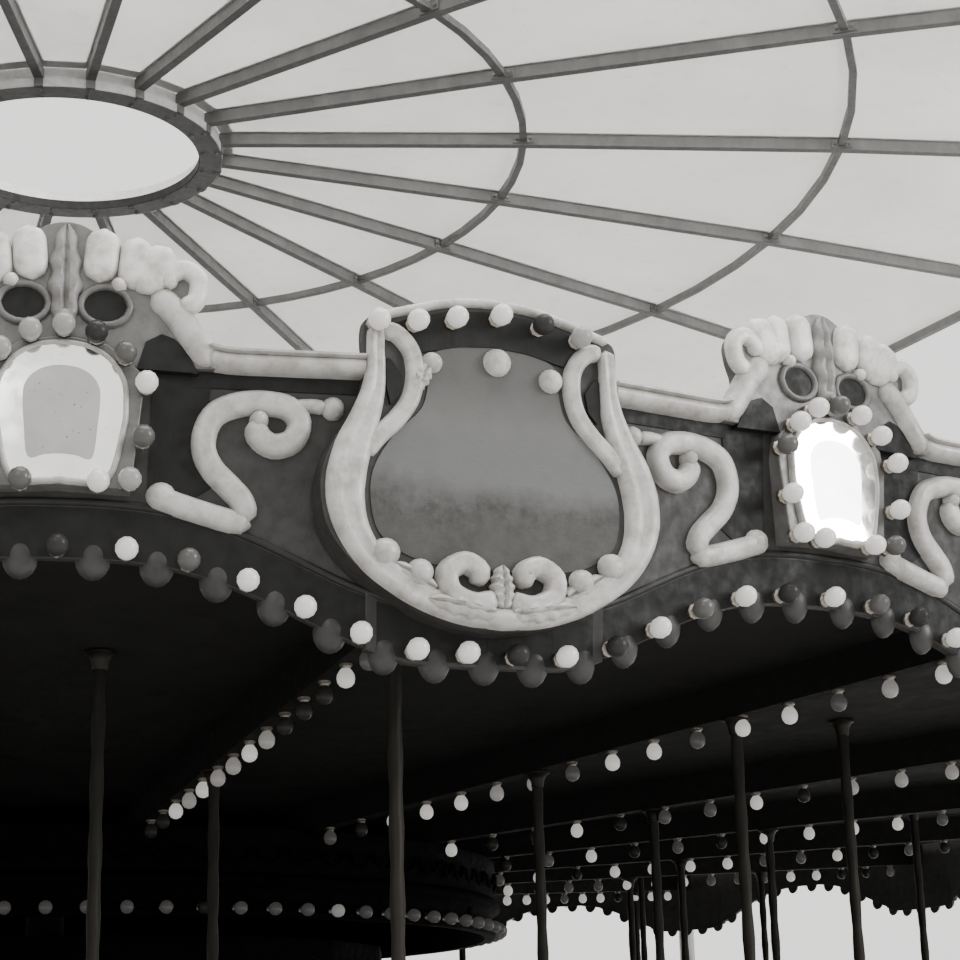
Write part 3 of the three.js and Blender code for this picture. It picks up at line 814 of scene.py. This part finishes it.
def shields():
    """The upright shield over each corner panel."""
    body = sloped_plate(smooth(whole(shield_half)), lambda z: corner_face(z) - 0.02, lambda z: SHIELD_FACE)
    ring_piece("shield_backs", body, FIELD, sweep_azimuths, bevel=0.004)
    picture = standing(plate(smooth(whole(picture_half)), -0.004, 0.004), SHIELD_FACE)
    ring_piece("shield_pictures", picture, LANDSCAPE, sweep_azimuths)
    outer = [(0.385, 3.795), (0.388, 3.72), (0.388, 3.65), (0.4, 3.57), (0.43, 3.48), (0.462, 3.4),
             (0.484, 3.31), (0.486, 3.23), (0.464, 3.146), (0.412, 3.066), (0.332, 3.002), (0.237, 2.952),
             (0.12, 2.918), (0.0, 2.908)]
    widths = (0.028, 0.028, 0.03, 0.038, 0.048, 0.058, 0.062, 0.06, 0.052, 0.045, 0.041,
              0.04, 0.04, 0.04)
    form = band(outer, widths, SUNK, 0.042, groove=0.3, steps=4, sides=11)
    strand = [(0.372, 3.782), (0.325, 3.778), (0.287, 3.745), (0.266, 3.7), (0.262, 3.635), (0.28, 3.565),
              (0.325, 3.5), (0.385, 3.44), (0.43, 3.38)]
    form += band(strand, 0.03, SUNK, 0.036, groove=0.25, steps=4)
    form += leaf((0.215, 2.978), (0.345, 3.052), 0.064, 0.008, 0.036, 3)
    form += leaf((0.03, 2.912), (0.238, 2.946), 0.084, 0.02, 0.038, 4)
    form += dome(0.368, 3.082, 0.046, 0.044, 0.01, 0.044)
    form += dome(0.262, 3.028, 0.042, 0.04, 0.016, 0.042)
    volute = [(0.015, 2.96), (0.092, 2.942), (0.162, 2.972), (0.174, 3.032), (0.12, 3.066), (0.072, 3.04),
              (0.096, 3.006)]
    form += band(volute, 0.035, 0.004, 0.054, groove=0.15, steps=4, sides=9)
    shape = on_both_sides(form)
    shape += leaf((0.0, 2.93), (0.0, 3.062), 0.085, 0.016, 0.042, 5)
    shape += dome(0.0, 2.903, 0.105, 0.036, 0.0, 0.046)
    ring_piece("shield_frames", standing(shape, SHIELD_FACE), CREAM, sweep_azimuths)
    arch = [(0.0, 3.882), (0.15, 3.868), (0.29, 3.824), (0.345, 3.8), (0.3, 3.77), (0.235, 3.725),
            (0.115, 3.755), (0.0, 3.765)]
    slit = [(0.338, 3.688), (0.35, 3.694), (0.356, 3.68), (0.356, 3.6), (0.343, 3.545), (0.314, 3.58),
            (0.306, 3.64)]
    form = plate(whole(arch), SUNK, 0.008)
    form += on_both_sides(plate(slit, SUNK, 0.012))
    ring_piece("shield_arches", standing(form, SHIELD_FACE), DARK, sweep_azimuths)
    form = band(whole([(-0.395, 3.822), (-0.29, 3.855), (-0.15, 3.895), (0.0, 3.908)]),
                0.015, SUNK, 0.026, steps=8, sides=8)
    for u, z, radius, height in ((0.01, 3.715, 0.046, 0.05), (0.19, 3.672, 0.04, 0.046),
                                 (-0.205, 3.694, 0.034, 0.036)):
        form += dome(u, z, radius, radius, 0.0, height)
    form += leaf((-0.262, 3.61), (-0.215, 3.69), 0.07, 0.0, 0.034, 4)
    ring_piece("shield_crowns", standing(form, SHIELD_FACE), PALE, sweep_azimuths)


# How each lamp burns, and the letter for it in the rows seen from the front
LAMP_FINISHES = {"bright": LAMP, "mild": LAMP_MILD, "low": LAMP_LOW, "dead": LAMP_DEAD}
LAMP_STATES = {"B": "bright", "m": "mild", "l": "low", ".": "dead"}


class Lamps:
    """Lamps in their four states with their sockets, gathered into pieces."""

    def __init__(self, seed, low=0.28, dead=0.1):
        self.shuffle = random.Random(seed)
        self.shares = (dead, dead + low)
        self.glass = {state: Form() for state in LAMP_FINISHES}
        self.sockets = Form()

    def add(self, azimuth, start, direction, known=None, step=0, lay=None):
        """A lamp whose state is known from a row's letters, or drawn."""
        draw = self.shuffle.random()
        state = "dead" if draw < self.shares[0] else "low" if draw < self.shares[1] else "bright"
        if known and step < len(known):
            state = LAMP_STATES[known[step]]
        glass = revolved(lamp_profile, start, direction, 12)
        socket = revolved(socket_profile, start, direction, 8)
        for source, wanted in ((glass, self.glass[state]), (socket, self.sockets)):
            wanted += around(lay(source) if lay else source, [azimuth])

    def place(self, name):
        for state, form in self.glass.items():
            if form.points:
                make(f"{name}_{state}", form, LAMP_FINISHES[state], TURNTABLE)
        make(name + "_sockets", self.sockets, SOCKET, TURNTABLE)


front_edge = {0: "BBBBBBB.BlBBBBB", 1: ".B.BlB.Bl.BB.Bl"}
front_sweeps = {0: "..BmBmmBm...Bl.B.", 1: "l.BBBmmlBBlBBlmB.", 2: "B..B.llB.mmmB.B.l"}
front_arch = "BBBB.m"
front_mirror = "m.lBlmBmmBlBl"
front_cornice = "llll.lllmlllll"


def board_lamps():
    """Lamps along the wavy edge, round the mirrors and over the shields."""
    out = (0.0, 1.0, 0.0)
    lamps = Lamps(18)
    mirror_spots = [(0.0, 3.737), (0.095, 3.716), (0.18, 3.655), (0.243, 3.566), (0.236, 3.4),
                    (0.2, 3.27), (0.11, 3.262)]
    mirror_spots += [(-u, z) for u, z in mirror_spots if u]
    arch_spots = [(-0.392, 3.796), (-0.266, 3.808), (-0.138, 3.832), (0.01, 3.856), (0.15, 3.84),
                  (0.28, 3.812)]
    for bay, azimuth in enumerate(mirror_azimuths):
        for step in range(EDGE_LAMPS):
            along, up = lamp_place(step - MIDDLE_LAMP)
            lamps.add(azimuth, (along, 0.01, up), out, front_edge.get(bay), step, on_boards)
        for step, (u, z) in enumerate(mirror_spots):
            lamps.add(azimuth, (u, MIRROR_FACE + 0.012, z), out, None if bay else front_mirror, step)
    for bay, azimuth in enumerate(sweep_azimuths):
        for step, (u, z) in enumerate(arch_spots):
            lamps.add(azimuth, (u, SHIELD_FACE + 0.012, z), out, None if bay else front_arch, step)
    lamps.place("board_lamps")


def edge_drops():
    """Rounded drops that hang from the edge between the lamps."""
    form = Form()
    for step in range(-MIDDLE_LAMP, MIDDLE_LAMP + 1):
        along, up = lamp_place(step + 0.5)
        form += dome(along, up - 0.018, 0.052, 0.064, -0.03, 0.04, 16, 5)
    ring_piece("edge_drops", on_boards(form), DROPS)


# Overhead frame, ceiling and centre
def sweep_underside(radius):
    return side_sweep[0].z + SWEEP_RISE * (radius - SWEEP_INNER)


def sweep_lamps():
    """A row of lamps under every sweep."""
    pitch, first, last = 0.262, 2.907, 7.36
    lamps = Lamps(7, 0.34, 0.22)
    for bay, azimuth in enumerate(sweep_azimuths):
        for i in range(int((last - first) / pitch) + 1):
            radius = first + i * pitch
            start = (0.0, radius, sweep_underside(radius) - 0.004)
            lamps.add(azimuth, start, (0.0, 0.0, -1.0), front_sweeps.get(bay), i)
    lamps.place("sweep_lamps")


def cornice():
    """The ring that hangs round the centre, with its own row of lamps."""
    low, high = cornice_box[0].z, cornice_box[1].z
    inner = 2.74
    profile = [(inner, low), (2.796, low), (2.806, low + 0.01), (2.806, low + 0.028), (2.792, low + 0.034),
               (2.792, low + 0.118), (2.815, low + 0.15), (2.84, low + 0.164), (2.842, low + 0.196),
               (2.826, low + 0.212), (2.8, low + 0.226), (2.794, low + 0.38), (2.81, low + 0.4),
               (2.812, high), (inner, high)]
    piece = turned_piece("cornice_ring", profile, HOUSING)
    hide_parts("inner_cornice")
    form = Form()
    for i in range(5):
        u = (i - 2) * 0.195
        swag = [(u + side, low + up) for side, up in
                ((-0.085, 0.36), (-0.05, 0.3), (0.0, 0.28), (0.05, 0.3), (0.085, 0.36))]
        form += band(swag, 0.012, 2.788, 0.02, steps=3, sides=6)
    form += dome(0.0, low + 0.11, 0.05, 0.04, 2.78, 0.03)
    ring_piece("cornice_swags", form, HOUSING)
    lamps_round = 90
    lamps = Lamps(3, 0.86, 0.06)
    for i in range(lamps_round):
        start = (0.0, CORNICE_LAMPS_AT, low + 0.04)
        lamps.add(tau * i / lamps_round, start, (0.0, 1.0, 0.0), front_cornice, i)
    lamps.place("cornice_lamps")


def centre():
    """Panels on the standing housing, with arched dark mirrors and mouldings."""
    face = HOUSING_RADIUS * cos(HALF_BAY)
    sunk = face - 0.004
    half = face * tan(HALF_BAY)
    arch = [(0.27 * cos(t), 1.36 + 0.27 * sin(t)) for t in np.linspace(0, pi, 13)]
    pane = [(0.27, 0.62), *arch, (-0.27, 0.62)]
    glass = lipped(pane, face - 0.002, face + 0.014, 0.02, 0.008)
    ring_piece("housing_mirrors", glass, MIRROR, mirror_azimuths, STAND, 12.0)
    rim = [(0.305, 0.585), (0.305, 0.97), (0.305, 1.36), (0.216, 1.576), (0.0, 1.665)]
    form = band(whole(rim) + [(0.0, 0.585)], 0.03, sunk, 0.04, closed=True, groove=0.2, steps=4)
    bead = [(half - 0.03, 0.24), (half - 0.03, 1.0), (half - 0.03, 1.83)]
    form += on_both_sides(band(bead, 0.022, sunk, 0.03, steps=2))
    form += leaf((0.0, 1.685), (0.0, 1.835), 0.15, face, 0.03, 4)
    form += block(-half + 0.07, half - 0.07, sunk, face + 0.018, 0.26, 0.44)
    ring_piece("housing_mouldings", form, BORDER, mirror_azimuths, STAND)


def ceiling_battens():
    """Battens nailed over the joints of the ceiling boards."""
    ceiling_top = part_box("ceiling")[1]
    ends = [(0.035, at, ceiling_top.z + SWEEP_RISE * (at - ceiling_top.x) - 0.004) for at in (0.7, 7.3)]
    ring_piece("ceiling_battens", slab(*ends, 0.03), DECK, sweep_azimuths, bevel=0.003)


# Platform and poles
def upright(inner, outer, low, high):
    """The profile of a plain ring."""
    return [(inner, low), (outer, low), (outer, high), (inner, high)]


def platform():
    """Deck boards laid across each bay, on joists, with a moulded rim."""
    rows, thickness, rim_depth = 25, 0.034, 0.13
    step = (PLATFORM_OUTER - 0.05 - PLATFORM_INNER) / rows
    form = Form()
    for r in range(rows):
        near = (PLATFORM_INNER + 0.02 + r * step) * cos(HALF_BAY) + 0.002
        far = near + step * cos(HALF_BAY) - 0.004
        edges = [(at * tan(HALF_BAY) - 0.0015, at, PLATFORM_TOP - thickness) for at in (near, far)]
        form += slab(*edges, thickness)
    deck = ring_piece("platform_deck", form, DECK, bevel=0.003)
    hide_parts(*nodes_named("platform_"))
    joists = block(-0.04, 0.04, PLATFORM_INNER + 0.05, PLATFORM_OUTER - 0.08,
                   PLATFORM_TOP - 0.12, PLATFORM_TOP - thickness)
    ring_piece("platform_joists", joists, DECK, sweep_azimuths)
    low, high = PLATFORM_TOP - rim_depth, PLATFORM_TOP
    out = PLATFORM_OUTER
    rim = [(out - 0.075, low), (out - 0.012, low), (out - 0.004, low + 0.012), (out - 0.004, low + 0.04),
           (out - 0.018, low + 0.05), (out - 0.018, high - 0.034), (out - 0.002, high - 0.024),
           (out, high - 0.008), (out - 0.008, high), (out - 0.075, high)]
    turned_piece("platform_rim", rim, TRIM)
    turned_piece("platform_inner_rim", upright(PLATFORM_INNER, PLATFORM_INNER + 0.045, low, high),
                 TRIM)


def pole(distance, top):
    """A twisted pole that stands on the deck, with a turned foot at each end."""
    sides, rows = 16, 44
    points = []
    for r in range(rows + 1):
        height = PLATFORM_TOP + (top - PLATFORM_TOP) * r / rows
        for k in range(sides):
            turn = tau * k / sides
            radius = 0.0245 * (1 + 0.1 * cos(2 * turn + height * 26.0))
            points.append((radius * cos(turn), distance + radius * sin(turn), height))
    form = Form(points, tube(rows + 1, sides))
    foot = [(0.06, 0.0), (0.06, 0.01), (0.046, 0.016), (0.034, 0.04), (0.03, 0.07), (0.026, 0.074)]
    for height, direction in ((PLATFORM_TOP, 1), (top, -1)):
        form += revolved(foot, (0.0, distance, height), (0, 0, direction), 16)
    return form


def poles():
    """Poles stand wide and close under every other sweep, and in every other bay."""
    solid_radius = 0.028
    bay_pole_at, bay_pole_turn = 5.55, radians(1.78)
    top = sweep_underside(bay_pole_at - solid_radius) + SWEEP_DEPTH - SEAT
    azimuths = [azimuth + bay_pole_turn for azimuth in mirror_azimuths[::2]]
    ring_piece("bay_poles", pole(bay_pole_at, top), POLE, azimuths)
    for name, places, first in (("wide_poles", (6.58, 4.15), 0), ("close_poles", (5.75, 4.5), 1)):
        form = Form()
        for distance in places:
            form += pole(distance, sweep_underside(distance - solid_radius) - SEAT)
        ring_piece(name, form, POLE, sweep_azimuths[first::2])


# Canopy
COVER_EYE = HUB_OUTER
COVER_EDGE = 7.68
COVER_THICKNESS = 0.025
COVER_LOW = cover_box[0].z
COVER_TOP = cover_box[1].z


def cloth_line(radius):
    """Height of the cloth's underside over a rafter."""
    return float(np.interp(radius, [COVER_EYE, *PURLINS, COVER_EDGE],
                           [COVER_TOP - COVER_THICKNESS, *PURLIN_TOPS, COVER_LOW]))


def canopy_cloth_piece():
    """One continuous sheet over the rafters that sinks a little between them."""
    start, end = COVER_EYE + 0.001, COVER_EDGE - 0.004
    rings, parts = 26, 8
    slices = RAFTERS * parts
    underside = [(r / rings, 0.0035) for r in range(rings + 1)]
    topside = [(r / rings, 0.0065) for r in range(rings, -1, -1)]
    points = []
    for outwards, lift in underside + topside:
        radius = start + (end - start) * outwards
        for k in range(slices):
            azimuth = FIRST_RAFTER + tau * k / slices
            share = (k % parts) / parts
            reach = radius * cos(RAFTER_STEP / 2) / cos((share - 0.5) * RAFTER_STEP)
            sag = 0.008 * sin(pi * share) ** 2 * sin(pi * outwards)
            height = cloth_line(radius) + lift - sag
            points.append(placed(azimuth, reach, height))
    sheet = Form(points, quads(2 * (rings + 1), slices, closed=True))
    cloth = make("canopy_cloth", sheet, CLOTH, STAND, crease=40.0)
    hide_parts("canopy_cover")
    return cloth


def canopy_details():
    """Welded seams over the rafters, edge profile and the clamp ring at the eye."""
    form = Form()
    stations = [(0.045, at, cloth_line(at) + 0.0065)
                for at in (COVER_EYE + 0.045, *PURLINS, COVER_EDGE - 0.015)]
    for near, far in zip(stations, stations[1:]):
        form += slab(near, far, 0.004)
    seams = ring_piece("canopy_seams", form, SEAM, rafter_azimuths, STAND)
    inner, outer = COVER_EYE + 0.003, COVER_EYE + 0.095
    clamp = [(radius, COVER_TOP + up) for radius, up in (
        (inner, -0.019), (outer, -0.021), (outer, -0.004), (outer - 0.01, 0.002), (inner + 0.01, 0.002),
        (inner, -0.006))]
    turned_piece("canopy_eye_ring", clamp, SEAM, STAND, RAFTERS, FIRST_RAFTER)
    edge = [(COVER_EDGE + out, COVER_LOW + up) for out, up in
            ((-0.025, -0.004), (0.004, -0.008), (0.01, 0.006), (0.004, 0.02), (-0.025, 0.014))]
    turned_piece("canopy_edge_profile", edge, FRAME_STEEL, STAND, RAFTERS, FIRST_RAFTER)
    return seams


def hub_skirts():
    """Cloth skirts that close the space between the hub ring and the cover, and a near-black lining on the
    ring's inner face as painted shade.
    """
    away, half = COVER_EYE * cos(RAFTER_STEP / 2) - 0.01, 0.131
    fascia = block(-half, half, away, away + 0.006, HUB_TOP, COVER_TOP - 0.004)
    between = [azimuth + RAFTER_STEP / 2 for azimuth in rafter_azimuths]
    ring_piece("hub_fascias", fascia, SEAM, between, STAND)
    for name, inner, low, high, finish, slot in (
            ("hub_upstand", HUB_INNER + 0.03, HUB_TOP, COVER_TOP - 0.022, SEAM, "canopy_fabric"),
            ("hub_skirt", HUB_OUTER + 0.001, HUB_BOTTOM, HUB_TOP - 0.004, SEAM, "canopy_fabric"),
            ("hub_painted_shade_lining", HUB_INNER - 0.006, HUB_BOTTOM, HUB_TOP - 0.002, HUB_SHADE_LINING, "frame_steel")):
        turned_piece(name, upright(inner, inner + 0.005, low, high), finish, STAND, 80)


def rafter_fittings():
    """Cleats and bolts where the rings cross the rafters, and lugs and bolt heads at the hub."""
    form = Form()
    for distance in (HUB_INNER + 0.03, HUB_OUTER - 0.03):
        start = (0.0, distance, HUB_BOTTOM - 0.002)
        form += revolved([(0.016, 0.0), (0.016, 0.01), (0.011, 0.013)], start, (0, 0, -1), 6)
    form += block(-RAFTER_HALF, RAFTER_HALF, HUB_OUTER - 0.004, HUB_OUTER + 0.014,
                  HUB_BOTTOM, HUB_BOTTOM + 0.058)
    cleat_face = RAFTER_HALF + 0.008
    for radius in (*PURLINS, EAVE_RING):
        height = cloth_line(radius) - 0.04
        form += on_both_sides(block(RAFTER_HALF, cleat_face, radius - 0.075, radius + 0.075,
                                    height - 0.028, height + 0.028))
        for out in (-0.05, 0.05):
            start = (cleat_face, radius + out, height)
            bolt = revolved([(0.011, 0.0), (0.011, 0.008), (0.008, 0.01)], start, (1, 0, 0), 6)
            form += on_both_sides(bolt)
    ring_piece("rafter_cleats", form, FRAME_STEEL, rafter_azimuths, STAND)


def column_fittings():
    """Gussets, and anchor bolts with their nuts, at each column's foot."""
    gusset = [(0.066, FOOT_TOP), (0.14, FOOT_TOP), (0.14, FOOT_TOP + 0.02), (0.066, FOOT_TOP + 0.17)]
    form = on_both_sides(plate(gusset, COLUMN_AT - 0.005, COLUMN_AT + 0.005))
    nut = [(0.02, 0.0), (0.02, 0.018), (0.01, 0.019), (0.01, 0.046)]
    for along in (-0.11, 0.11):
        for out in (-0.11, 0.11):
            form += revolved(nut, (along, COLUMN_AT + out, FOOT_TOP), (0, 0, 1), 6)
    ring_piece("column_fittings", form, COLUMN_STEEL, column_azimuths, STAND)


def dress_nodes():
    """Finishes for the nodes that keep their own shape."""
    finishes = {
        "canopy_frame": FRAME_STEEL, "column": COLUMN_STEEL, "centre_mast": MAST, "sweep_hub": MAST,
        "sweep": OVERHEAD, "ceiling": CEILING, "centre_housing": HOUSING,
    }
    for name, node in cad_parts.items():
        for start, finish in finishes.items():
            if name.startswith(start):
                node.data.materials.clear()
                node.data.materials.append(finish.material)
                break


# Camera from the solved view: distance, eye height and the three angles
CAMERA_DISTANCE = 13.3
EYE_HEIGHT = 1.6
PITCH = 0.2815
ROLL = -0.0279
YAW = 0.2112
FOCAL_PIXELS = 2046.75
FRAME_PIXELS = 960
SENSOR = 36.0


def camera():
    data = bpy.data.cameras.new("view")
    data.sensor_fit = "HORIZONTAL"
    data.sensor_width = SENSOR
    data.lens = FOCAL_PIXELS / FRAME_PIXELS * SENSOR
    data.clip_end = 200
    ahead = Vector((sin(YAW) * cos(PITCH), cos(YAW) * cos(PITCH), sin(PITCH)))
    right = Vector((cos(YAW), -sin(YAW), 0))
    up = right.cross(ahead)
    tilted_right = right * cos(ROLL) + up * sin(ROLL)
    tilted_up = up * cos(ROLL) - right * sin(ROLL)
    turn = Matrix((tilted_right, tilted_up, -ahead)).transposed()
    view = bpy.data.objects.new("view", data)
    view.matrix_world = Matrix.Translation((0, -CAMERA_DISTANCE, EYE_HEIGHT)) @ turn.to_4x4()
    show(view)
    bpy.context.scene.camera = view


def studio():
    """Plain pale floor, even sky light, and soft lights in front, at the side and over the canopy."""
    mesh = bpy.data.meshes.new("studio_floor")
    reach = 60.0
    corners = [(-reach, -reach, 0), (reach, -reach, 0), (reach, reach, 0), (-reach, reach, 0)]
    mesh.from_pydata(corners, [], [(0, 1, 2, 3)])
    floor = bpy.data.objects.new("studio_floor", mesh)
    plain = Finish("studio_floor_paint", 0.9)
    plain.set(plain.shader, {"Base Color": grey(0.55, 0.01)})
    mesh.materials.append(plain.material)
    show(floor)
    world = bpy.data.worlds.new("studio_sky")
    world.use_nodes = True
    background = world.node_tree.nodes["Background"]
    background.inputs["Color"].default_value = grey(0.86, 0.01)
    background.inputs["Strength"].default_value = 1.85
    bpy.context.scene.world = world
    for name, spot, size, power in (("front_light", (-6.0, -24.0, 13.0), 8.0, 1200.0),
                                    ("side_light", (13.5, -13.0, 7.0), 6.0, 2200.0),
                                    ("sky_light", (2.0, -2.0, 19.0), 20.0, 15000.0)):
        light = bpy.data.lights.new(name, "AREA")
        light.size = size
        light.energy = power
        holder = bpy.data.objects.new(name, light)
        holder.location = spot
        holder.rotation_euler = (Vector((0, 0, 4.0)) - Vector(spot)).to_track_quat("-Z", "Y").to_euler()
        show(holder)


camera()
studio()
dress_nodes()
board_backs()
dark_inlays()
border_mouldings()
top_mouldings()
scrolls()
mirrors()
crests()
shields()
edge_drops()
board_lamps()
sweep_lamps()
cornice()
centre()
ceiling_battens()
platform()
poles()
cloth = canopy_cloth_piece()
seams = canopy_details()
hub_skirts()
rafter_fittings()
column_fittings()
